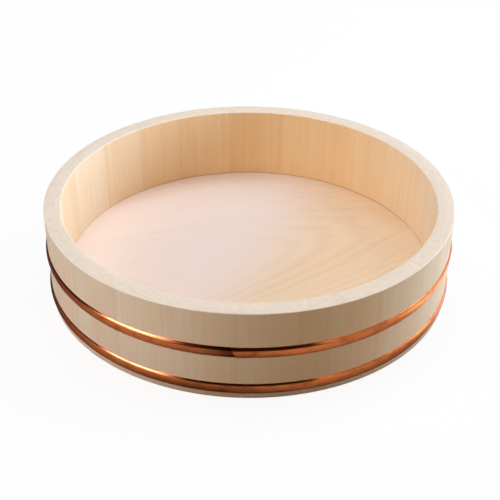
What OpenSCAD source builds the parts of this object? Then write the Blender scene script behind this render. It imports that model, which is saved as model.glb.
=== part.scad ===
// Sushi rice tub: a low, open, coopered tub of softwood staves, bound by two copper hoops,
// with a raised base board seated in a groove round the inside of the wall.
// Millimetres, +Z up. The origin is the middle of the foot, on the surface the tub stands on.

/* [Tub] */
// Outside width across the rim
rim_d = 390; // [360:5:420]
// Height from the foot to the rim
tub_h = 90; // [80:1:110]
// How far the wall leans out between the foot and the rim, on each side
wall_lean = 1; // [0:0.5:6]
// Thickness of the staves
wall_t = 16; // [13:0.5:20]
// Bevel that eases both edges of the rim
rim_ease = 1; // [0.4:0.1:3]
// Bevel that eases both edges of the foot
foot_ease = 1.5; // [0.4:0.1:3]

/* [Staves] */
// Number of staves round the wall
stave_count = 21; // [16:1:26]
// Angle of the first joint between staves
first_joint = 28.5; // [0:0.5:90]
// Most that a joint strays from even spacing, in degrees
joint_stray = 1.2; // [0:0.1:2]
// Number of half waves in the straying of the joints round the wall
stray_waves = 11; // [1:1:20]

/* [Base board] */
// Thickness of the base board
base_t = 10; // [8:0.5:14]
// Height of the underside of the base board above the foot
base_lift = 5; // [4:0.5:12]
// Depth of the groove that holds the base board
groove_depth = 3; // [2:0.25:5]
// Room left in the groove for the base board to swell
swell_room = 0.3; // [0.1:0.1:0.8]
// Number of planks in the base board
plank_count = 4; // [3:1:6]
// Direction in which the planks run, from the X axis
plank_turn = 26; // [0:1:90]

/* [Hoops] */
// Height of a hoop
hoop_h = 10.5; // [7:0.5:13]
// Thickness of a hoop at its edges
hoop_edge = 0.5; // [0.3:0.1:1]
// How far the rounded face of a hoop rises above its edges
hoop_crown = 1.3; // [0.6:0.1:2.5]
// Height of the lower edge of the upper hoop above the foot
upper_hoop_z = 45; // [36:0.5:52]
// Height of the lower edge of the lower hoop above the foot
lower_hoop_z = 6; // [4:0.5:12]
// Angle at which the free end of the upper hoop shows
upper_seam = 266.5; // [0:0.5:360]
// Angle at which the free end of the lower hoop shows
lower_seam = 82; // [0:0.5:360]
// Length of the lapped end of a hoop
lap_l = 14; // [8:1:24]
// How far the lapped end stands proud of the hoop under it
lap_step = 0.6; // [0.3:0.1:1]

/* [Pins and dowels] */
// Diameter of the pins between staves
pin_d = 4; // [3:0.25:5]
// Length of the pins between staves
pin_l = 24; // [16:1:32]
// Height of the lower pins above the foot
pin_low_z = 32; // [28:1:40]
// Depth of the upper pins below the rim
pin_high_drop = 20; // [14:1:28]
// Diameter of the dowels between planks
dowel_d = 5; // [3:0.25:6]
// Length of the dowels between planks
dowel_l = 30; // [20:1:40]
// Number of dowels in each joint between planks
dowel_count = 3; // [2:1:5]
// Room round a pin or dowel in its hole
pin_clear = 0.05; // [0.02:0.01:0.2]
// Room past each end of a pin or dowel in its hole
pin_end_room = 0.5; // [0.2:0.1:2]

/* [Hidden] */
$fn = 180;
full_turn = 360;
half_turn = 180;

// Curve of a hoop's face, in straight steps
crown_steps = 10;

base_top = base_lift + base_t;
groove_r = in_r(base_top) + groove_depth;
base_r = groove_r - swell_room;
plank_w = 2 * base_r / plank_count;
pin_levels = [pin_low_z, tub_h - pin_high_drop];

stave_colour = [0.86, 0.74, 0.60];
base_colour = [0.93, 0.82, 0.74];
copper_colour = [0.74, 0.38, 0.22];
bamboo_colour = [0.80, 0.70, 0.45];

function stave_name(i) = str("stave_", i < 9 ? "0" : "", i + 1);
function plank_name(i) = str("base_plank_", i + 1);

// Radius of the outer, inner and middle surface of the wall at height z
function out_r(z) = rim_d / 2 - wall_lean * (1 - z / tub_h);
function in_r(z) = out_r(z) - wall_t;
function mid_r(z) = out_r(z) - wall_t / 2;

// Angle of the joint before stave i
function joint_angle(i) =
    first_joint + full_turn * i / stave_count
    + joint_stray * sin(half_turn * stray_waves * i / stave_count);

// Distance of the joint before plank i from the middle of the base board
function plank_edge(i) = plank_w * i - base_r;

// Place of dowel k along the joint before plank i
function dowel_place(i, k) =
    let (half_chord = sqrt(base_r * base_r - plank_edge(i) * plank_edge(i)))
    half_chord * (2 * (k + 1) / (dowel_count + 1) - 1);

// Outline of the wall, cut through a stave, with the groove for the base board
module wall_section() {
    polygon([
        [out_r(0) - foot_ease, 0],
        [out_r(foot_ease), foot_ease],
        [out_r(tub_h - rim_ease), tub_h - rim_ease],
        [out_r(tub_h) - rim_ease, tub_h],
        [in_r(tub_h) + rim_ease, tub_h],
        [in_r(tub_h - rim_ease), tub_h - rim_ease],
        [in_r(base_top), base_top],
        [groove_r, base_top],
        [groove_r, base_lift],
        [in_r(base_lift), base_lift],
        [in_r(foot_ease), foot_ease],
        [in_r(0) + foot_ease, 0]
    ]);
}

// Outline of a hoop's band from height z, set out from the wall, with a half-oval face
module band_section(z, h, inset, edge) {
    polygon(concat(
        [[out_r(z) + inset, z]],
        [for (k = [0 : crown_steps])
            let (a = half_turn * k / crown_steps, up = z + h / 2 * (1 - cos(a)))
            [out_r(up) + edge + hoop_crown * sin(a), up]],
        [[out_r(z + h) + inset, z + h]]
    ));
}

// A round peg across the joint before stave i, at height z
module across_stave_joint(i, z, d, l) {
    rotate(joint_angle(i))
        translate([mid_r(z), 0, z])
            rotate([90, 0, 0])
                cylinder(d = d, h = l, center = true);
}

// A round peg across the joint before plank i
module across_plank_joint(i, k, d, l) {
    rotate(plank_turn)
        translate([dowel_place(i, k), plank_edge(i), base_lift + base_t / 2])
            rotate([90, 0, 0])
                cylinder(d = d, h = l, center = true);
}

module stave(i) {
    color(stave_colour)
        difference() {
            rotate(joint_angle(i))
                rotate_extrude(angle = joint_angle(i + 1) - joint_angle(i))
                    wall_section();
            for (j = [i, i + 1], z = pin_levels)
                across_stave_joint(j, z, pin_d + 2 * pin_clear, pin_l + 2 * pin_end_room);
        }
}

module base_plank(i) {
    color(base_colour)
        difference() {
            translate([0, 0, base_lift])
                intersection() {
                    cylinder(r = base_r, h = base_t);
                    rotate(plank_turn)
                        translate([-base_r, plank_edge(i), 0])
                            cube([2 * base_r, plank_w, base_t]);
                }
            for (j = [max(i, 1) : min(i + 1, plank_count - 1)], k = [0 : dowel_count - 1])
                across_plank_joint(j, k, dowel_d + 2 * pin_clear, dowel_l + 2 * pin_end_room);
        }
}

// A closed copper band whose free end laps over the other at the seam
module hoop(z, seam) {
    lap_sweep = full_turn * lap_l / (2 * PI * out_r(z));
    color(copper_colour)
        union() {
            rotate_extrude()
                band_section(z, hoop_h, 0, hoop_edge);
            rotate(seam)
                rotate_extrude(angle = lap_sweep)
                    band_section(z + lap_step / 2, hoop_h - lap_step, hoop_edge / 2, hoop_edge + lap_step);
        }
}

module upper_hoop() {
    hoop(upper_hoop_z, upper_seam);
}

module lower_hoop() {
    hoop(lower_hoop_z, lower_seam);
}

module stave_pins() {
    color(bamboo_colour)
        for (i = [0 : stave_count - 1], z = pin_levels)
            across_stave_joint(i, z, pin_d, pin_l);
}

module base_dowels() {
    color(bamboo_colour)
        for (i = [1 : plank_count - 1], k = [0 : dowel_count - 1])
            across_plank_joint(i, k, dowel_d, dowel_l);
}

for (i = [0 : stave_count - 1])
    stave(i);
for (i = [0 : plank_count - 1])
    base_plank(i);
upper_hoop();
lower_hoop();
stave_pins();
base_dowels();
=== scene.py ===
"""Looks for the sushi rice tub: softwood staves, a planked base board and two copper hoops.

Every length is in metres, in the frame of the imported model: +Z up, the origin at the middle of the foot,
and -Y towards the viewer.
"""

import math
import random

import bpy
import numpy as np
from mathutils import Matrix, Vector


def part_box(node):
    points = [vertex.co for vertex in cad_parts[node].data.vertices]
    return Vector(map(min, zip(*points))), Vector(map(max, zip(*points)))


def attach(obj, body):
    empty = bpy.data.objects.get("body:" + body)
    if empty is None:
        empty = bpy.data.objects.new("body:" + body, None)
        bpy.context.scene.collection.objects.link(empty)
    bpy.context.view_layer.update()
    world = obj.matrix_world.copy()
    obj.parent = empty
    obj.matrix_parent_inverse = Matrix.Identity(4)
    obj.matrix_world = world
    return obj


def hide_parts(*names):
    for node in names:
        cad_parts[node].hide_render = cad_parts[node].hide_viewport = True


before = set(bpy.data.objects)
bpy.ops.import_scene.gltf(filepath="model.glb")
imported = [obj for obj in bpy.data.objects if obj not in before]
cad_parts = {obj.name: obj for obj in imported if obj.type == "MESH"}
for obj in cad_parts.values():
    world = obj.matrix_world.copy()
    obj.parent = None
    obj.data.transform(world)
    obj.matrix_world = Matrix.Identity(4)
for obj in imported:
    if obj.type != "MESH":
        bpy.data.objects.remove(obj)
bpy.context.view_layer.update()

MM = 0.001
BODY = "root"
SEED = 7

# Small forms that the solids leave plain
RIM_ROUND = 1.0 * MM
FOOT_ROUND = 1.6 * MM
LIP_ROUND = 0.35 * MM
ROUND_STEPS = 5
ARRIS_SHARE = 0.75
END_SHARE = 0.5
JOINT_EASE = 0.04 * MM
JOINT_EASE_WIDTH = 0.25 * MM
STAVE_COLUMNS = 12
PLANK_EASE = 0.15 * MM
PLANK_ARC_STEPS = 40
PLANK_TURN = math.radians(26)
SWELL_ROOM = 0.3 * MM
SAME_POINT = 0.01 * MM
WOOD_CREASE = math.radians(35)
HOOP_CREASE = math.radians(50)

# Shares of the height above and below which the wall is measured as rim and as foot
NEAR_RIM = 0.95
NEAR_FOOT = 0.03

# Joints between staves that show, counted from the first stave, and how dark a joint is
OPEN_JOINTS = (0, 5, 6, 7)
OPEN_JOINT_DIRT = 0.8
TIGHT_JOINT_DIRT = 0.25
RIM_JOINT_DIRT = 0.05

# Painted light and shade on the wall, each strongest at an angle and falling off faster with a higher power:
# painted shade makes the outside browner at the front right, the foot darker at the front and the inside
# warmer at the back, and painted light makes the inside paler than the outside
FOOT_PAINTED_SHADE = np.array([0.71, 0.66, 0.59])
FOOT_ANGLE = math.radians(288)
FOOT_POWER = 2
FOOT_BAND = 9 * MM
FOOT_BAND_FADE = 1 * MM
OUTSIDE_TONE = np.array([1.0, 1.0, 1.0])
FRONT_PAINTED_SHADE = np.array([0.84, 0.73, 0.59])
FRONT_ANGLE = math.radians(292)
FRONT_POWER = 12
INSIDE_PAINTED_LIGHT = np.array([1.03, 1.08, 1.1])
BACK_PAINTED_SHADE = np.array([1.03, 0.93, 0.73])
BACK_ANGLE = math.radians(75)
BACK_POWER = 2

# How the pieces of wood differ from one another: ranges that each piece draws from
STAVE_TONES = (0.98, 1.015)
STAVE_BLUSHES = (0.05, 0.2)
STAVE_LEANS = (-0.02, 0.02)
PITH_ASIDE_MM = (70, 140)
PITH_OUT_MM = (-45, 45)
PITH_UP_MM = (-900, 900)
PLANK_TONES = (0.99, 1.01)

# Short cracks across the rim, seen in the end grain
RIM_CHECKS = [math.radians(292.7), math.radians(293.6), math.radians(294.4)]
RIM_CHECK_WIDTH = 0.3 * MM
RIM_CHECK_DIRT = 0.85

# How the late wood darkens over a year's growth: thin lines in the staves, soft bands in the base
FINE_RINGS = [(0, 0), (0.25, 0), (0.6, 0.15), (0.86, 1), (0.96, 0.4), (1, 0)]
SOFT_RINGS = [(0, 0), (0.25, 0.2), (0.45, 0.7), (0.6, 1), (0.78, 0.6), (1, 0)]

# Where the base board turns from pink to tan
BLUSH_EDGE = 18 * MM
BLUSH_SLANT = 0.42
BLUSH_WIDTH = 115 * MM

# The log that the base board is sawn from: its pith runs below the board, nearer at the left
PITH_ACROSS = 8 * MM
PITH_DEPTH = 126 * MM
PITH_CLIMB = 0.1

# Dark line where the wall meets the base board: a dark joint all round, with painted shade added towards the
# far right
LIP_LINE = 0.3
LIP_SHADE_GAIN = 0.6
LIP_SHADE_SIDE = math.radians(60)
LIP_LINE_HEIGHT = 1.6 * MM

# Hoops
HOOP_COLUMNS = 420
HOOP_FACE_STEPS = 18
HOOP_EDGE = 0.2 * MM
HOOP_FULLNESS = 0.85
HOOP_SWAY = 0.03 * MM
SEAM_ANGLES = dict(upper_hoop=math.radians(266.5), lower_hoop=math.radians(82))
LAP_LENGTH = 14 * MM
LAP_STEP = 0.6 * MM
LAP_EDGE = 0.12 * MM
LAP_SLANT = -0.5
LAP_PROFILE = [(0.0, 1.0), (0.3, 0.95), (0.6, 0.6), (1.0, 0.0)]
HOOP_WAVES = (3, 5, 9, 14, 23, 31)
HOOP_WAVE_SIZES = (0.4, 1.0)
SEAM_DIRT = 1.0
SEAM_DIRT_LENGTH = 24 * MM
SEAM_DIRT_CURVE = 0.7
# painted shade: the hoops darker along their top and bottom edges
EDGE_SHADE_BAND = 0.2
TOP_EDGE_SHADE = 0.2
LOW_EDGE_SHADE = 0.35

# Camera: the place of the origin in the camera's own axes (right, down, forward), and its tilt
IMAGE_PIXELS = 500
SENSOR_WIDTH_MM = 36.0
FOCAL_PIXELS = 1065.0
CAMERA_TILT = math.radians(32.9)
CAMERA_ROLL = math.radians(-0.45)
ORIGIN_RIGHT = -1.2 * MM
ORIGIN_DOWN = 21.3 * MM
ORIGIN_FORWARD = 1070.0 * MM

# Studio: soft boxes aimed at the tub, each with its power in watts, over a floor that is white away from it
WHITE = (1.0, 1.0, 1.0, 1.0)
TUB_MIDDLE = Vector((0.0, 0.0, 0.05))
COOL = (0.93, 1.0, 1.13)
COLD = (0.91, 1.03, 1.24)
WARM = (1.0, 0.67, 0.36)
LAMPS = [
    dict(name="top", place=(-0.05, 0.36, 1.65), width=1.3, height=0.9, power=10.5, tint=COOL),
    dict(name="back_right", place=(0.85, 0.75, 1.15), width=0.9, height=0.9, power=9.0, tint=COOL),
    dict(name="right", place=(2.97, 0.3, 0.58), width=1.8, height=1.1, power=74.0, tint=COLD),
    dict(name="left", place=(-1.3, -0.6, 0.58), width=1.3, height=1.15, power=12.6, tint=COOL),
    dict(name="fill", place=(-0.2, -1.25, 1.5), width=1.2, height=0.8, power=7.9, tint=WARM),
]
SURROUND_LEVEL = 0.02
SURROUND_TINT = (1.0, 0.85, 0.7, 1.0)
FLOOR_SHADE = (0.28, 0.28, 0.28, 1.0)
FLOOR_GLOW = 0.9
FLOOR_REACH = 12.0
FLOOR_WHITE = (0.5, 1.3)

# Veils that only mirrors see, painted reflections that light and shade nothing else: glowing cards paint the
# hoops' highlights and dark flags their dark bands. They run out over the floor from start, and up a dome.
# Sides, fades and rises are in degrees. The mat is the tub's shade on the floor, as (degrees round, light
# left)
VEIL_STEPS = 48
VEIL_TOP_FADE = math.radians(4)
VEIL_HEIGHT = 3.0 * MM
VEIL_GAP = 0.2 * MM
DOME_R = 1.7
DOME_GAP = 0.02
BRIGHT = (1.0, 1.03, 1.6, 1.0)
PALE = (0.8, 1.22, 1.38, 1.0)
VEILS = [
    dict(name="left_low_card", sides=(193, 240), fade=(6, 16), rise=8, start=(0.5, 1.2),
         tint=BRIGHT, glow=2.2),
    dict(name="left_card", sides=(195, 233), fade=(6, 16), rise=62, start=(1.2, 1.7),
         tint=BRIGHT, glow=9.0),
    dict(name="front_flag", sides=(220, 305), fade=(16, 3), rise=68, start=(0.36, 0.48),
         tint=WHITE, glow=0.015),
    dict(name="front_right_flag", sides=(308, 341), fade=(3, 4), rise=30, start=(0.36, 0.48),
         tint=WHITE, glow=0.55),
    dict(name="right_flag", sides=(337, 380), fade=(4, 4), rise=0, start=(0.4, 0.55),
         tint=WHITE, glow=0.2),
    dict(name="right_card", sides=(346, 388), fade=(16, 8), rise=45, start=(1.6, 1.7),
         tint=PALE, glow=3.0),
    dict(name="left_back_flag", sides=(112, 198), fade=(4, 5), rise=50, start=(0.36, 0.48),
         tint=WHITE, glow=0.03),
    dict(name="right_floor_card", sides=(326, 372), fade=(14, 4), rise=0, start=(0.195, 0.21),
         tint=PALE, glow=1.8),
]
MAT_NEAR, MAT_FAR = 0.185, 0.6
MAT_FOOT = 0.1935
MAT_CONTACT = 0.03
MAT_HEIGHT = 1.0 * MM
MAT_GLOW = 0.015
MAT_CROWDING = 3
MAT_EDGE_SHARE = 0.25
MAT_LIGHT = [
    (0, 1.0), (140, 0.6), (165, 0.12), (195, 0.22), (205, 0.36), (218, 0.5), (232, 0.6), (240, 0.52),
    (254, 0.34), (267, 0.35), (283, 0.57), (297, 0.62), (315, 0.56), (329, 0.72), (342, 1.0),
]


class Graph:
    """Adds nodes to a shader tree and wires them: an input is either a socket or a constant."""

    MIX_COLOUR_INPUTS = (0, 6, 7)
    MIX_COLOUR_OUTPUT = 2

    def __init__(self, tree):
        self.tree = tree
        tree.nodes.clear()

    def add(self, kind, inputs=None, **settings):
        node = self.tree.nodes.new(kind)
        for name, value in settings.items():
            setattr(node, name, value)
        for key, value in (inputs or {}).items():
            self.put(node.inputs[key], value)
        return node

    def put(self, socket, value):
        if isinstance(value, bpy.types.NodeSocket):
            self.tree.links.new(value, socket)
        else:
            socket.default_value = value

    def math(self, operation, *values):
        return self.add("ShaderNodeMath", dict(enumerate(values)), operation=operation).outputs[0]

    def vector(self, operation, *values, output=0):
        node = self.add("ShaderNodeVectorMath", dict(enumerate(values)), operation=operation)
        return node.outputs[output]

    def attribute(self, name, output="Fac"):
        return self.add("ShaderNodeAttribute", attribute_name=name).outputs[output]

    def noise(self, vector, stretch, detail=2.0, roughness=0.5, output="Fac"):
        place = self.vector("MULTIPLY", vector, stretch)
        inputs = {"Vector": place, "Scale": 1.0, "Detail": detail, "Roughness": roughness}
        return self.add("ShaderNodeTexNoise", inputs).outputs[output]

    def remap(self, value, low, high, to_low=0.0, to_high=1.0):
        inputs = {"Value": value, "From Min": low, "From Max": high, "To Min": to_low, "To Max": to_high}
        return self.add("ShaderNodeMapRange", inputs, interpolation_type="SMOOTHSTEP").outputs[0]

    def mix(self, factor, first, second, blend="MIX"):
        node = self.add("ShaderNodeMix", data_type="RGBA", blend_type=blend)
        for key, value in zip(self.MIX_COLOUR_INPUTS, (factor, first, second)):
            self.put(node.inputs[key], value)
        return node.outputs[self.MIX_COLOUR_OUTPUT]

    def ramp(self, factor, stops):
        node = self.add("ShaderNodeValToRGB", {"Fac": factor})
        elements = node.color_ramp.elements
        while len(elements) < len(stops):
            elements.new(0.5)
        for element, (place, level) in zip(elements, stops):
            element.position = place
            element.color = (level, level, level, 1.0)
        return node.outputs[0]

    def bump(self, height, strength, distance):
        inputs = {"Height": height, "Strength": strength, "Distance": distance}
        return self.add("ShaderNodeBump", inputs).outputs[0]


def srgb(red, green, blue):
    """A colour given as it looks on screen, 0 to 255, as the linear colour that a shader takes."""
    def linear(value):
        value /= 255
        return value / 12.92 if value <= 0.04045 else ((value + 0.055) / 1.055) ** 2.4
    return (linear(red), linear(green), linear(blue), 1.0)


def new_material(name):
    """A material, the graph of its nodes and the inputs of its one shader."""
    material = bpy.data.materials.new(name)
    material.use_nodes = True
    graph = Graph(material.node_tree)
    shader = graph.add("ShaderNodeBsdfPrincipled")
    graph.add("ShaderNodeOutputMaterial", {"Surface": shader.outputs[0]})
    return material, graph, shader.inputs


# Wood: sizes of its patterns per metre (across, through, along the fibres), colours, and how far each shows
DRIFT_SCALE = (14.0, 14.0, 3.0)
UNEVEN_SCALE = (90.0, 90.0, 0.0)
FIBRE_SCALE = (1500.0, 1500.0, 28.0)
STREAK_SCALE = (230.0, 230.0, 2.5)
CLOUD_SCALE = (22.0, 22.0, 6.0)
PORE_SCALE = (130.0, 330.0, 60.0)
PALEST_YEAR = 0.2
BLUSH_COLOUR = srgb(248, 232, 222)
BLUSH_HIDES_RINGS = 0.8
FIBRE_DEPTH = 0.08
CUT_PALE = srgb(243, 229, 209)
CUT_PORE = srgb(234, 217, 195)
CUT_RING = srgb(206, 180, 150)
CUT_RING_DEPTH = 0.24
CUT_COVER = 0.92
# painted highlight along the rounded edges of the rim
ARRIS_HIGHLIGHT_COLOUR = srgb(252, 240, 224)
ARRIS_HIGHLIGHT_COVER = 0.45
# darker colour for dark joints, cracks and dirt, and for the painted shade in the line at the base board
DIRT_AND_SHADE_COLOUR = srgb(150, 108, 70)
DIRT_AND_SHADE_COVER = 0.5
WOOD_ROUGH = 0.58
FIBRE_ROUGH = 0.16
RING_POLISH = 0.08
WOOD_SHEEN = 0.15
WOOD_RELIEF = 0.1 * MM
WOOD_RELIEF_STRENGTH = 0.4
RELIEF_SHARE = 0.5


def wood_material(name, pale, warm, late, ring_pitch, ring_stray, ring_depth, ring_profile, wander,
                  streak_depth):
    """Solid wood: growth rings round the line x = y = 0 of the grain attribute, with fibres along its z."""
    material, g, shader = new_material(name)
    grain = g.attribute("grain", "Vector")
    drift = g.vector("SUBTRACT", g.noise(grain, DRIFT_SCALE, output="Color"), (0.5, 0.5, 0.5))
    bent = g.vector("MULTIPLY_ADD", drift, (wander, wander, 0.0), grain)
    radius = g.vector("LENGTH", g.vector("MULTIPLY", bent, (1.0, 1.0, 0.0)), output="Value")
    uneven = g.noise(bent, UNEVEN_SCALE, detail=1.0)
    years = g.math("ADD", g.math("DIVIDE", radius, ring_pitch), g.math("MULTIPLY", uneven, ring_stray))
    band = g.ramp(g.math("FRACT", years), ring_profile)
    year = g.add("ShaderNodeTexWhiteNoise", {"W": g.math("FLOOR", years)}, noise_dimensions="1D")
    rings = g.math("MULTIPLY", band, g.remap(year.outputs["Value"], 0.0, 1.0, PALEST_YEAR, 1.0))
    blush = g.remap(g.attribute("blush"), 0.0, 1.0)
    hidden = g.math("MULTIPLY", blush, BLUSH_HIDES_RINGS)
    rings = g.math("MULTIPLY", rings, g.math("SUBTRACT", 1.0, hidden))

    fibre = g.noise(grain, FIBRE_SCALE, detail=3.0, roughness=0.6)
    streak = g.noise(grain, STREAK_SCALE, detail=3.0, roughness=0.6)
    cloud = g.noise(grain, CLOUD_SCALE, detail=3.0)

    colour = g.mix(g.remap(cloud, 0.3, 0.7), pale, warm)
    colour = g.mix(blush, colour, BLUSH_COLOUR)
    shade = g.math("MULTIPLY", g.remap(streak, 0.3, 0.75), streak_depth)
    shade = g.math("ADD", shade, g.math("MULTIPLY", rings, ring_depth))
    shade = g.math("ADD", shade, g.math("MULTIPLY", g.remap(fibre, 0.45, 0.8), FIBRE_DEPTH))
    colour = g.mix(shade, colour, late)
    # the tone attribute holds each piece's own tone, and on the staves also the painted light and shade of
    # the wall
    colour = g.mix(1.0, colour, g.attribute("tone_and_painted_light", "Vector"), "MULTIPLY")
    pores = g.remap(g.noise(grain, PORE_SCALE, detail=4.0, roughness=0.6), 0.3, 0.75)
    cut = g.mix(pores, CUT_PALE, CUT_PORE)
    cut = g.mix(g.math("MULTIPLY", rings, CUT_RING_DEPTH), cut, CUT_RING)
    colour = g.mix(g.math("MULTIPLY", g.attribute("end_grain"), CUT_COVER), colour, cut)
    # painted highlight on the rim's rounded edges
    colour = g.mix(g.math("MULTIPLY", g.attribute("arris_highlight"), ARRIS_HIGHLIGHT_COVER), colour, ARRIS_HIGHLIGHT_COLOUR)
    # dark joints, cracks and dirt, with painted shade at the base board
    colour = g.mix(g.math("MULTIPLY", g.attribute("dirt_and_shade"), DIRT_AND_SHADE_COVER), colour, DIRT_AND_SHADE_COLOUR)
    g.put(shader["Base Color"], colour)

    rough = g.math("ADD", WOOD_ROUGH, g.math("MULTIPLY", fibre, FIBRE_ROUGH))
    g.put(shader["Roughness"], g.math("SUBTRACT", rough, g.math("MULTIPLY", rings, RING_POLISH)))
    shader["Specular IOR Level"].default_value = WOOD_SHEEN
    height = g.math("ADD", g.math("MULTIPLY", rings, RELIEF_SHARE), g.math("MULTIPLY", fibre, RELIEF_SHARE))
    g.put(shader["Normal"], g.bump(height, WOOD_RELIEF_STRENGTH, WOOD_RELIEF))
    return material


# Copper: sizes of its patterns per metre (along the hoop, up it, through it), colours, and how far each shows
BLOTCH_SCALE = (90.0, 160.0, 90.0)
DRAWN_SCALE = (25.0, 2600.0, 2600.0)
SPECK_SCALE = (700.0, 900.0, 700.0)
COPPER_COLOUR = srgb(234, 125, 50)
TARNISH_COLOUR = srgb(178, 76, 30)
TARNISH_COVER = 0.75
SPECK_SHARE = 0.4
DRAWN_COLOUR = srgb(140, 56, 26)
DRAWN_COVER = 0.25
# the dark of the dirt by the seam and of the painted shade at the hoop's edges
GRIME_AND_SHADE_COLOUR = srgb(52, 18, 6)
GRIME_AND_SHADE_COVER = 0.95
COPPER_ROUGH = 0.1
TARNISH_ROUGH = 0.1
DRAWN_ROUGH = 0.06
COPPER_EDGE_TINT = srgb(244, 160, 100)
LACQUER = 0.6
LACQUER_LOST_TO_GRIME_AND_SHADE = 0.55
LACQUER_ROUGH = 0.06
LACQUER_IOR = 1.6
DRAWN_RELIEF_SHARE = 0.5
BLOTCH_RELIEF_SHARE = 1.2
COPPER_RELIEF = 0.12 * MM
COPPER_RELIEF_STRENGTH = 0.3


def copper_material():
    """Lacquered copper, drawn along the hoop, with brown tarnish in streaks and blotches."""
    material, g, shader = new_material("copper")
    along = g.attribute("band", "Vector")
    blotch = g.noise(along, BLOTCH_SCALE, detail=4.0, roughness=0.6)
    drawn = g.noise(along, DRAWN_SCALE, detail=3.0, roughness=0.6)
    speck = g.noise(along, SPECK_SCALE, detail=3.0, roughness=0.65)
    specks = g.math("MULTIPLY", g.remap(speck, 0.5, 0.8), SPECK_SHARE)
    tarnish = g.math("ADD", g.remap(blotch, 0.42, 0.72), specks)
    colour = g.mix(g.math("MULTIPLY", tarnish, TARNISH_COVER), COPPER_COLOUR, TARNISH_COLOUR)
    lines = g.math("MULTIPLY", g.remap(drawn, 0.45, 0.8), DRAWN_COVER)
    colour = g.mix(lines, colour, DRAWN_COLOUR)
    # dirt by the seam and painted shade at the edges darken the copper and thin its lacquer
    grime_and_shade = g.math("MULTIPLY", g.attribute("dirt_and_shade"), g.remap(drawn, 0.25, 0.6, 0.7, 1.0))
    colour = g.mix(g.math("MULTIPLY", grime_and_shade, GRIME_AND_SHADE_COVER), colour, GRIME_AND_SHADE_COLOUR)
    g.put(shader["Base Color"], colour)
    shader["Metallic"].default_value = 1.0
    rough = g.math("ADD", COPPER_ROUGH, g.math("MULTIPLY", tarnish, TARNISH_ROUGH))
    g.put(shader["Roughness"], g.math("ADD", rough, g.math("MULTIPLY", drawn, DRAWN_ROUGH)))
    shader["Specular Tint"].default_value = COPPER_EDGE_TINT
    lost = g.math("MULTIPLY", grime_and_shade, LACQUER_LOST_TO_GRIME_AND_SHADE)
    g.put(shader["Coat Weight"], g.math("SUBTRACT", LACQUER, lost))
    shader["Coat Roughness"].default_value = LACQUER_ROUGH
    shader["Coat IOR"].default_value = LACQUER_IOR
    drawn_relief = g.math("MULTIPLY", drawn, DRAWN_RELIEF_SHARE)
    height = g.math("ADD", drawn_relief, g.math("MULTIPLY", blotch, BLOTCH_RELIEF_SHARE))
    g.put(shader["Normal"], g.bump(height, COPPER_RELIEF_STRENGTH, COPPER_RELIEF))
    return material


# Bamboo: sizes of its patterns per metre, colours, and how far each shows
BAMBOO_FIBRE_SCALE = (900.0, 900.0, 900.0)
BAMBOO_CLOUD_SCALE = (60.0, 60.0, 60.0)
BAMBOO_PALE = srgb(222, 200, 140)
BAMBOO_WARM = srgb(206, 176, 112)
BAMBOO_FIBRE_COLOUR = srgb(150, 116, 64)
BAMBOO_FIBRE_COVER = 0.5
BAMBOO_ROUGH = 0.42
BAMBOO_FIBRE_ROUGH = 0.2
BAMBOO_RELIEF = 0.1 * MM
BAMBOO_RELIEF_STRENGTH = 0.4


def bamboo_material():
    """Split bamboo, for the pins and dowels inside the joints."""
    material, g, shader = new_material("bamboo")
    place = g.add("ShaderNodeTexCoord").outputs["Object"]
    fibre = g.noise(place, BAMBOO_FIBRE_SCALE, detail=3.0, roughness=0.6)
    cloud = g.noise(place, BAMBOO_CLOUD_SCALE)
    colour = g.mix(g.remap(cloud, 0.3, 0.7), BAMBOO_PALE, BAMBOO_WARM)
    fibres = g.math("MULTIPLY", g.remap(fibre, 0.45, 0.75), BAMBOO_FIBRE_COVER)
    g.put(shader["Base Color"], g.mix(fibres, colour, BAMBOO_FIBRE_COLOUR))
    rough = g.math("ADD", BAMBOO_ROUGH, g.math("MULTIPLY", fibre, BAMBOO_FIBRE_ROUGH))
    g.put(shader["Roughness"], rough)
    g.put(shader["Normal"], g.bump(fibre, BAMBOO_RELIEF_STRENGTH, BAMBOO_RELIEF))
    return material


def node_points(name):
    """The corners of a CAD node's mesh, one row each."""
    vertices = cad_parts[name].data.vertices
    points = np.empty(len(vertices) * 3)
    vertices.foreach_get("co", points)
    return points.reshape(-1, 3)


def radii(points):
    """The distance of each point from the Z axis."""
    return np.hypot(points[:, 0], points[:, 1])


def sweep_of(name):
    """The first and last angle that a node spans round the Z axis."""
    points = node_points(name)
    middle = math.atan2(points[:, 1].mean(), points[:, 0].mean())
    angles = np.arctan2(points[:, 1], points[:, 0]) - middle
    angles = (angles + math.pi) % (2 * math.pi) - math.pi
    return middle + angles.min(), middle + angles.max()


STAVES = sorted(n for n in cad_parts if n.startswith("stave_") and n != "stave_pins")
PLANKS = sorted(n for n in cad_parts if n.startswith("base_plank_"))
HOOPS = ["upper_hoop", "lower_hoop"]
PEGS = ["stave_pins", "base_dowels"]

# The wall and the base board, measured on the solids
wall_points = np.concatenate([node_points(n) for n in STAVES])
HEIGHT = wall_points[:, 2].max()
at_rim = radii(wall_points[wall_points[:, 2] > HEIGHT * NEAR_RIM])
at_foot = radii(wall_points[wall_points[:, 2] < HEIGHT * NEAR_FOOT])
RIM_OUT, RIM_IN = at_rim.max(), at_rim.min()
FOOT_OUT, FOOT_IN = at_foot.max(), at_foot.min()
BASE_UNDER, BASE_TOP = (corner.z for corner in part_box(PLANKS[0]))
BASE_R = max(radii(node_points(n)).max() for n in PLANKS)
GROOVE_R = BASE_R + SWELL_ROOM


def out_r(z):
    """The radius of the wall's outside at a height."""
    return FOOT_OUT + (RIM_OUT - FOOT_OUT) * z / HEIGHT


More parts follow.
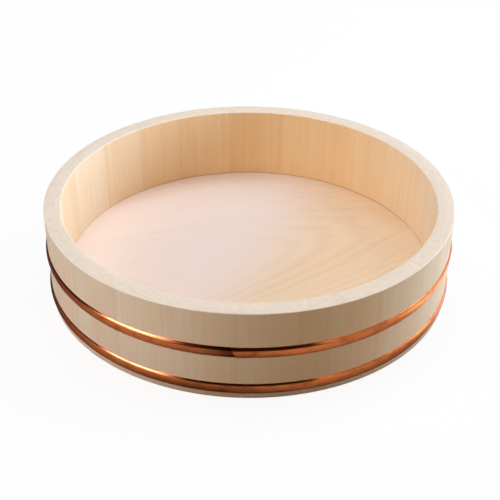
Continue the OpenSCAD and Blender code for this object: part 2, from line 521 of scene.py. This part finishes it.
def in_r(z):
    """The radius of the wall's inside at a height."""
    return FOOT_IN + (RIM_IN - FOOT_IN) * z / HEIGHT


MID_R = (out_r(HEIGHT / 2) + in_r(HEIGHT / 2)) / 2


def rounded_outline(corners):
    """A closed outline through corners (x, y, radius), each rounded to its radius by an arc."""
    points = []
    for k, (x, y, radius) in enumerate(corners):
        here = Vector((x, y))
        before = (Vector(corners[k - 1][:2]) - here).normalized()
        after = (Vector(corners[(k + 1) % len(corners)][:2]) - here).normalized()
        if radius == 0:
            points.append(here)
            continue
        half_angle = before.angle(after) / 2
        centre = here + (before + after).normalized() * (radius / math.sin(half_angle))
        start = here + before * (radius / math.tan(half_angle)) - centre
        end = here + after * (radius / math.tan(half_angle)) - centre
        turn = start.angle_signed(end)
        for step in range(ROUND_STEPS + 1):
            points.append(centre + Matrix.Rotation(-turn * step / ROUND_STEPS, 2) @ start)
    return points


def inset_outline(points, depth):
    """A closed, counter-clockwise outline with every point moved inward by depth."""
    moved = []
    for k, here in enumerate(points):
        along = (points[(k + 1) % len(points)] - points[k - 1]).normalized()
        moved.append(here + Vector((-along.y, along.x)) * depth)
    return moved


def strip_faces(rows, count, closed):
    """Quads between successive rows of count points each, every row being a closed loop."""
    faces = []
    for row in range(rows if closed else rows - 1):
        this, following = row * count, (row + 1) % rows * count
        for k in range(count):
            after = (k + 1) % count
            faces.append((this + k, following + k, following + after, this + after))
    return faces


def make_piece(node, slot, material, vertices, faces, attributes, crease=WOOD_CREASE):
    """A mesh piece that rides on the tub and stands for one CAD node."""
    mesh = bpy.data.meshes.new(f"{slot}_{node}")
    mesh.from_pydata([tuple(v) for v in vertices], [], faces)
    for key, values in attributes.items():
        values = np.asarray(values, np.float32)
        kind, field = ("FLOAT_VECTOR", "vector") if values.ndim == 2 else ("FLOAT", "value")
        mesh.attributes.new(key, kind, "POINT").data.foreach_set(field, values.ravel())
    mesh.polygons.foreach_set("use_smooth", [True] * len(mesh.polygons))
    mesh.set_sharp_from_angle(angle=crease)
    mesh.materials.append(material)
    piece = bpy.data.objects.new(mesh.name, mesh)
    bpy.context.scene.collection.objects.link(piece)
    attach(piece, BODY)
    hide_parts(node)


def wall_outline():
    """The wall cut through a stave, as (radius, height), counter-clockwise, with its groove."""
    return rounded_outline([
        (in_r(0), 0.0, FOOT_ROUND),
        (out_r(0), 0.0, FOOT_ROUND),
        (out_r(FOOT_BAND), FOOT_BAND, 0),
        (out_r(FOOT_BAND + FOOT_BAND_FADE), FOOT_BAND + FOOT_BAND_FADE, 0),
        (out_r(HEIGHT), HEIGHT, RIM_ROUND),
        (in_r(HEIGHT), HEIGHT, RIM_ROUND),
        (in_r(BASE_TOP + LIP_LINE_HEIGHT), BASE_TOP + LIP_LINE_HEIGHT, 0),
        (in_r(BASE_TOP), BASE_TOP, LIP_ROUND),
        (GROOVE_R, BASE_TOP, 0),
        (GROOVE_R, BASE_UNDER, 0),
        (in_r(BASE_UNDER), BASE_UNDER, LIP_ROUND),
    ])


def on_arris(r, z):
    """1 on the rounded edges of the rim, 0 elsewhere."""
    near_side = min(out_r(z) - r, r - in_r(z)) < RIM_ROUND * ARRIS_SHARE
    return float(near_side and z > HEIGHT - RIM_ROUND * ARRIS_SHARE)


def on_end(z):
    """1 on the end grain at the rim and the foot, 0 on the sides."""
    return float(z > HEIGHT - RIM_ROUND * END_SHARE or z < FOOT_ROUND * END_SHARE)


def facing(angle, middle, power=1):
    """1 at the middle angle, falling to 0 a quarter turn away."""
    return max(0.0, math.cos(angle - middle)) ** power


def lip_line_and_shade(r, z, angle):
    """The dark line at the base board: a dark joint all round, with painted shade that is strongest on the
    far right.
    """
    at_lip = r < in_r(z) + 2 * LIP_ROUND and abs(z - BASE_TOP) < LIP_LINE_HEIGHT / 2
    return at_lip * (LIP_LINE + LIP_SHADE_GAIN * facing(angle, LIP_SHADE_SIDE))


def joint_dirt(joint):
    """How dark the joint before a stave is."""
    return OPEN_JOINT_DIRT if joint % len(STAVES) in OPEN_JOINTS else TIGHT_JOINT_DIRT


def rim_check(angle):
    """Columns (angle, dirt on the sides, dirt on the end grain) for a short crack across the rim."""
    width = RIM_CHECK_WIDTH / MID_R
    return [(angle - width, 0.0, 0.0), (angle, 0.0, RIM_CHECK_DIRT), (angle + width, 0.0, 0.0)]


def wall_painted_light(r, z, angle):
    """The painted light and shade of the wall at a radius, a height and an angle."""
    if r < MID_R:
        return INSIDE_PAINTED_LIGHT + (BACK_PAINTED_SHADE - INSIDE_PAINTED_LIGHT) * facing(angle, BACK_ANGLE, BACK_POWER)
    outside = OUTSIDE_TONE + (FRONT_PAINTED_SHADE - OUTSIDE_TONE) * facing(angle, FRONT_ANGLE, FRONT_POWER)
    if z > FOOT_BAND + FOOT_BAND_FADE / 2:
        return outside
    return outside + (FOOT_PAINTED_SHADE - outside) * facing(angle, FOOT_ANGLE, FOOT_POWER)


def build_stave(index, node, material, dice):
    """One stave: the wall's outline swept round its own angle, eased where it meets its neighbours."""
    first, last = sweep_of(node)
    middle = (first + last) / 2
    ease = JOINT_EASE_WIDTH / MID_R
    columns = [(angle, 0.0, 0.0) for angle in np.linspace(first + ease, last - ease, STAVE_COLUMNS)]
    for check in RIM_CHECKS:
        angle = (check - first) % (2 * math.pi) + first
        if first < angle < last:
            columns += rim_check(angle)
    columns = [(first, joint_dirt(index), RIM_JOINT_DIRT), *sorted(columns),
               (last, joint_dirt(index + 1), RIM_JOINT_DIRT)]
    plain = wall_outline()
    eased = inset_outline(plain, JOINT_EASE)

    aside = dice.choice((-1, 1)) * dice.uniform(*PITH_ASIDE_MM)
    pith = np.array([aside, dice.uniform(*PITH_OUT_MM), dice.uniform(*PITH_UP_MM)]) * MM
    lean_across, lean_out = dice.uniform(*STAVE_LEANS), dice.uniform(*STAVE_LEANS)
    vertices, grain, tone_and_painted_light, arris_highlight, dirt_and_shade, end_grain = [], [], [], [], [], []
    for angle, side_dirt, end_dirt in columns:
        for r, z in (eased if angle in (first, last) else plain):
            vertices.append((r * math.cos(angle), r * math.sin(angle), z))
            across = (angle - middle) * MID_R
            grain.append((across + z * lean_across, r - MID_R + z * lean_out, z) + pith)
            # painted light and shade of the wall at this point
            tone_and_painted_light.append(wall_painted_light(r, z, angle))
            # painted highlight on the rim's rounded edges
            arris_highlight.append(on_arris(r, z))
            dirt = end_dirt if on_end(z) else side_dirt
            dirt_and_shade.append(max(dirt, lip_line_and_shade(r, z, angle)))
            end_grain.append(on_end(z))
    count = len(plain)
    faces = strip_faces(len(columns), count, closed=False)
    faces.append(tuple(range(count)))
    faces.append(tuple(reversed(range(len(vertices) - count, len(vertices)))))
    attributes = {
        "grain": grain,
        "tone_and_painted_light": np.array(tone_and_painted_light) * dice.uniform(*STAVE_TONES),
        "blush": np.full(len(vertices), dice.uniform(*STAVE_BLUSHES)),
        "arris_highlight": arris_highlight,
        "dirt_and_shade": dirt_and_shade,
        "end_grain": end_grain,
    }
    make_piece(node, "stave_wood", material, vertices, faces, attributes)


def plank_outline(low, high):
    """The strip of the base board between two lines, as (along, across), counter-clockwise."""
    def arc(start, end):
        return [Vector((math.cos(a), math.sin(a))) * BASE_R for a in np.linspace(start, end, PLANK_ARC_STEPS)]
    start, end = (math.asin(max(-1.0, min(1.0, edge / BASE_R))) for edge in (low, high))
    loop = arc(start, end) + arc(math.pi - end, math.pi - start)
    return [p for k, p in enumerate(loop) if (p - loop[k - 1]).length > SAME_POINT]


def plank_blush(x, y):
    """How pink the base board is: over 1 on the left, falling below 0 on the right, where the wood is tan."""
    return 0.5 - (x - BLUSH_SLANT * y - BLUSH_EDGE) / BLUSH_WIDTH


def build_plank(node, material, dice):
    """One plank of the base board, with its upper edges eased; the planks share the figure of one log."""
    along = np.array([math.cos(PLANK_TURN), math.sin(PLANK_TURN)])
    across = np.array([-along[1], along[0]])
    reach = node_points(node)[:, :2] @ across
    low, high = reach.min(), reach.max()
    loop = plank_outline(low, high)
    layers = [
        (loop, BASE_UNDER, 0.0),
        (loop, BASE_TOP - PLANK_EASE, TIGHT_JOINT_DIRT),
        (inset_outline(loop, PLANK_EASE), BASE_TOP, 0.0),
    ]
    vertices, grain, dirt_and_shade, blush = [], [], [], []
    for points, z, dark in layers:
        for p in points:
            vertices.append((*(along * p.x + across * p.y), z))
            grain.append((p.y - PITH_ACROSS, z - BASE_TOP + PITH_DEPTH + p.x * PITH_CLIMB, p.x))
            dirt_and_shade.append(dark)
            blush.append(plank_blush(*vertices[-1][:2]))
    count = len(loop)
    faces = [face[::-1] for face in strip_faces(len(layers), count, closed=False)]
    faces.append(tuple(reversed(range(count))))
    faces.append(tuple(range(len(vertices) - count, len(vertices))))
    attributes = {
        "grain": grain,
        "tone_and_painted_light": np.full((len(vertices), 3), dice.uniform(*PLANK_TONES)),
        "blush": blush,
        "arris_highlight": np.zeros(len(vertices)),
        "dirt_and_shade": dirt_and_shade,
        "end_grain": np.zeros(len(vertices)),
    }
    make_piece(node, "base_wood", material, vertices, faces, attributes)


def hoop_section(crown):
    """A hoop cut through: (height from -1 to 1, thickness), from its lower edge round to its upper edge."""
    face = []
    for k in range(HOOP_FACE_STEPS + 1):
        up = math.sin(math.pi * (k / HOOP_FACE_STEPS - 0.5))
        face.append((up, HOOP_EDGE + crown * (1 - up * up) ** HOOP_FULLNESS))
    return [(-1.0, 0.0), *face, (1.0, 0.0)]


def hoop_dirt_and_shade(along, length, up):
    """Dirt on the end that runs under the lap, and painted shade along the top and bottom edges of a hoop."""
    before_seam = max(0.0, 1 - (length - along) / SEAM_DIRT_LENGTH) ** SEAM_DIRT_CURVE
    at_edge = max(0.0, abs(up) - 1 + EDGE_SHADE_BAND) / EDGE_SHADE_BAND
    return max(SEAM_DIRT * before_seam, at_edge * (TOP_EDGE_SHADE if up > 0 else LOW_EDGE_SHADE))


def build_hoop(node, material, dice):
    """A copper band with a rounded face, slightly uneven, whose free end laps over at the seam."""
    z0, z1 = (corner.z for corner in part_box(node))
    middle, half = (z0 + z1) / 2, (z1 - z0) / 2
    r = out_r(middle)
    crown = radii(node_points(node)).max() - r - HOOP_EDGE - LAP_STEP
    section = hoop_section(crown)
    lap, edge = LAP_LENGTH / r, LAP_EDGE / r
    over = [(lap * along, lift) for along, lift in LAP_PROFILE]
    ring = [(turn, 0.0) for turn in np.linspace(lap, 2 * math.pi - edge, HOOP_COLUMNS)[1:]]
    waves = [(n, dice.uniform(0, 2 * math.pi), dice.uniform(*HOOP_WAVE_SIZES)) for n in HOOP_WAVES]

    vertices, band, dirt_and_shade = [], [], []
    for turn, lift in over + ring:
        sway = HOOP_SWAY * sum(size * math.sin(n * turn + start) for n, start, size in waves)
        from_seam = min(turn, 2 * math.pi - turn)
        slant = LAP_SLANT * half / r * max(0.0, 1 - from_seam / lap)
        for up, thickness in section:
            proud = thickness + LAP_STEP * lift + sway if thickness else 0.0
            z = middle + half * up
            angle = SEAM_ANGLES[node] + turn + slant * up
            reach = out_r(z) + proud
            vertices.append((reach * math.cos(angle), reach * math.sin(angle), z))
            band.append((turn * r, half * up, proud))
            dirt_and_shade.append(hoop_dirt_and_shade(turn * r, 2 * math.pi * r, up))
    faces = strip_faces(len(over) + len(ring), len(section), closed=True)
    make_piece(node, "copper", material, vertices, faces, {"band": band, "dirt_and_shade": dirt_and_shade}, HOOP_CREASE)


def dress_tub():
    """Every piece of the tub, with the same draws each run."""
    dice = random.Random(SEED)
    stave_wood = wood_material(
        "stave_wood", srgb(242, 217, 183), srgb(239, 208, 169), srgb(212, 170, 122),
        ring_pitch=2.1 * MM, ring_stray=2.5, ring_depth=0.11, ring_profile=FINE_RINGS, wander=4.0 * MM,
        streak_depth=0.16)
    base_wood = wood_material(
        "base_wood", srgb(247, 224, 193), srgb(245, 219, 184), srgb(219, 180, 127),
        ring_pitch=4.5 * MM, ring_stray=0.8, ring_depth=0.28, ring_profile=SOFT_RINGS, wander=10.0 * MM,
        streak_depth=0.05)
    copper = copper_material()
    bamboo = bamboo_material()
    for index, node in enumerate(STAVES):
        build_stave(index, node, stave_wood, dice)
    for node in PLANKS:
        build_plank(node, base_wood, dice)
    for node in HOOPS:
        build_hoop(node, copper, dice)
    for node in PEGS:
        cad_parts[node].data.materials.clear()
        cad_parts[node].data.materials.append(bamboo)


def add_camera():
    """The camera that took the photo, as fitted to the tub's rim."""
    right = Vector((1.0, 0.0, 0.0))
    forward = Vector((0.0, math.cos(CAMERA_TILT), -math.sin(CAMERA_TILT)))
    down = Vector((0.0, -math.sin(CAMERA_TILT), -math.cos(CAMERA_TILT)))
    rolled_right = right * math.cos(CAMERA_ROLL) + down * math.sin(CAMERA_ROLL)
    rolled_down = down * math.cos(CAMERA_ROLL) - right * math.sin(CAMERA_ROLL)
    place = -(rolled_right * ORIGIN_RIGHT + rolled_down * ORIGIN_DOWN + forward * ORIGIN_FORWARD)
    data = bpy.data.cameras.new("camera")
    data.sensor_width = SENSOR_WIDTH_MM
    data.lens = FOCAL_PIXELS * SENSOR_WIDTH_MM / IMAGE_PIXELS
    camera = bpy.data.objects.new("camera", data)
    axes = Matrix((rolled_right, -rolled_down, -forward)).transposed()
    camera.matrix_world = Matrix.Translation(place) @ axes.to_4x4()
    bpy.context.scene.collection.objects.link(camera)
    bpy.context.scene.camera = camera


def add_lamp(name, place, width, height, power, tint):
    """A soft box aimed at the tub, which the camera and mirrors don't see."""
    data = bpy.data.lights.new(name, "AREA")
    data.shape = "RECTANGLE"
    data.size = width
    data.size_y = height
    data.energy = power
    data.color = tint
    lamp = bpy.data.objects.new(name, data)
    lamp.location = place
    lamp.rotation_euler = (TUB_MIDDLE - Vector(place)).to_track_quat("-Z", "Y").to_euler()
    lamp.visible_camera = False
    lamp.visible_glossy = False
    bpy.context.scene.collection.objects.link(lamp)


def seen_directly(g):
    """1 for what the camera, a mirror or glass sees, 0 for light that bounces."""
    path = g.add("ShaderNodeLightPath").outputs
    seen = g.math("MAXIMUM", path["Is Camera Ray"], path["Is Glossy Ray"])
    return g.math("MAXIMUM", seen, path["Is Transmission Ray"])


def add_surround():
    """Even light from all round, on a white background."""
    world = bpy.data.worlds.new("surround")
    world.use_nodes = True
    g = Graph(world.node_tree)
    seen = seen_directly(g)
    colour = g.mix(seen, SURROUND_TINT, WHITE)
    level = g.remap(seen, 0.0, 1.0, SURROUND_LEVEL, 1.0)
    glow = g.add("ShaderNodeBackground", {"Color": colour, "Strength": level})
    g.add("ShaderNodeOutputWorld", {"Surface": glow.outputs[0]})
    bpy.context.scene.world = world


def add_floor():
    """A white floor that keeps a faint shadow."""
    material = bpy.data.materials.new("floor")
    material.use_nodes = True
    g = Graph(material.node_tree)
    seen = seen_directly(g)
    shade = g.mix(seen, FLOOR_SHADE, WHITE)
    paper = g.add("ShaderNodeBsdfDiffuse", {"Color": shade})
    glow = g.add("ShaderNodeEmission", {"Color": WHITE, "Strength": 1.0})
    distance = g.vector("LENGTH", g.add("ShaderNodeTexCoord").outputs["Object"], output="Value")
    share = g.math("MULTIPLY", seen, g.remap(distance, *FLOOR_WHITE, FLOOR_GLOW, 1.0))
    mixed = g.add("ShaderNodeMixShader", {0: share, 1: paper.outputs[0], 2: glow.outputs[0]})
    g.add("ShaderNodeOutputMaterial", {"Surface": mixed.outputs[0]})
    mesh = bpy.data.meshes.new("floor")
    corners = [(-1, -1), (1, -1), (1, 1), (-1, 1)]
    mesh.from_pydata([(x * FLOOR_REACH, y * FLOOR_REACH, 0.0) for x, y in corners], [], [(0, 1, 2, 3)])
    mesh.materials.append(material)
    floor = bpy.data.objects.new("floor", mesh)
    bpy.context.scene.collection.objects.link(floor)


def add_veil(name, rows, cover, tint, glow):
    """A painted reflection: a sheet through rows of points, that only mirrors see and that hides what is
    behind by its cover.
    """
    material = bpy.data.materials.new(name)
    material.use_nodes = True
    g = Graph(material.node_tree)
    clear = g.add("ShaderNodeBsdfTransparent")
    sheet = g.add("ShaderNodeEmission", {"Color": tint, "Strength": glow})
    inputs = {0: g.attribute("cover"), 1: clear.outputs[0], 2: sheet.outputs[0]}
    g.add("ShaderNodeOutputMaterial", {"Surface": g.add("ShaderNodeMixShader", inputs).outputs[0]})
    count = len(rows[0])
    faces = []
    for row in range(len(rows) - 1):
        for k in range(count - 1):
            corner = row * count + k
            faces.append((corner, corner + 1, corner + count + 1, corner + count))
    mesh = bpy.data.meshes.new(name)
    mesh.from_pydata([point for row in rows for point in row], [], faces)
    mesh.attributes.new("cover", "FLOAT", "POINT").data.foreach_set("value", np.ravel(cover))
    mesh.materials.append(material)
    veil = bpy.data.objects.new(name, mesh)
    veil.visible_camera = False
    veil.visible_diffuse = False
    veil.visible_shadow = False
    bpy.context.scene.collection.objects.link(veil)


def ring_points(radius, z, angles):
    """Points at a radius and a height, one for each angle."""
    return [(radius * math.cos(a), radius * math.sin(a), z) for a in angles]


def add_mirror_veil(name, layer, sides, fade, rise, start, tint, glow):
    """A painted reflection between two sides that runs out over the floor and up a dome, fading at its edges.
    """
    angles = np.radians(np.linspace(*sides, VEIL_STEPS))
    dome_r = DOME_R + DOME_GAP * layer
    height = VEIL_HEIGHT - VEIL_GAP * layer
    spread = np.linspace(start[0], dome_r, VEIL_STEPS)
    rises = np.radians(np.linspace(0, rise, VEIL_STEPS)) if rise else np.zeros(0)
    rows = [ring_points(radius, height, angles) for radius in spread]
    rows += [ring_points(dome_r * math.cos(up), height + dome_r * math.sin(up), angles) for up in rises]
    first_fade, last_fade = np.radians(fade)
    across = np.minimum((angles - angles[0]) / first_fade, (angles[-1] - angles) / last_fade)
    outward = (spread - start[0]) / (start[1] - start[0])
    upward = (math.radians(rise) - rises) / VEIL_TOP_FADE
    cover = np.minimum.outer(np.concatenate([outward, upward]), across)
    add_veil(name, rows, np.clip(cover, 0, 1), tint, glow)


def add_mat():
    """The tub's shade on the floor as the hoops mirror it, darkest at the foot."""
    angles = np.linspace(0, 2 * math.pi, 2 * VEIL_STEPS)
    share = np.linspace(0, 1, VEIL_STEPS) ** MAT_CROWDING
    rows = [ring_points(MAT_NEAR + (MAT_FAR - MAT_NEAR) * s, MAT_HEIGHT, angles) for s in share]
    beyond = MAT_NEAR + (MAT_FAR - MAT_NEAR) * share - MAT_FOOT
    contact = 1 - np.exp(-np.maximum(beyond, 0) / MAT_CONTACT)
    degrees, light = zip(*MAT_LIGHT)
    left = np.interp(np.degrees(angles), degrees, light, period=360)
    fade = np.clip((1 - share) / MAT_EDGE_SHARE, 0, 1)
    cover = fade[:, None] * (1 - left * np.power.outer(contact, 1 - left))
    add_veil("mat", rows, cover, WHITE, MAT_GLOW)


bpy.context.scene.view_settings.view_transform = "Standard"
dress_tub()
add_camera()
for lamp in LAMPS:
    add_lamp(**lamp)
add_surround()
add_floor()
for layer, veil in enumerate(VEILS):
    add_mirror_veil(layer=layer, **veil)
add_mat()
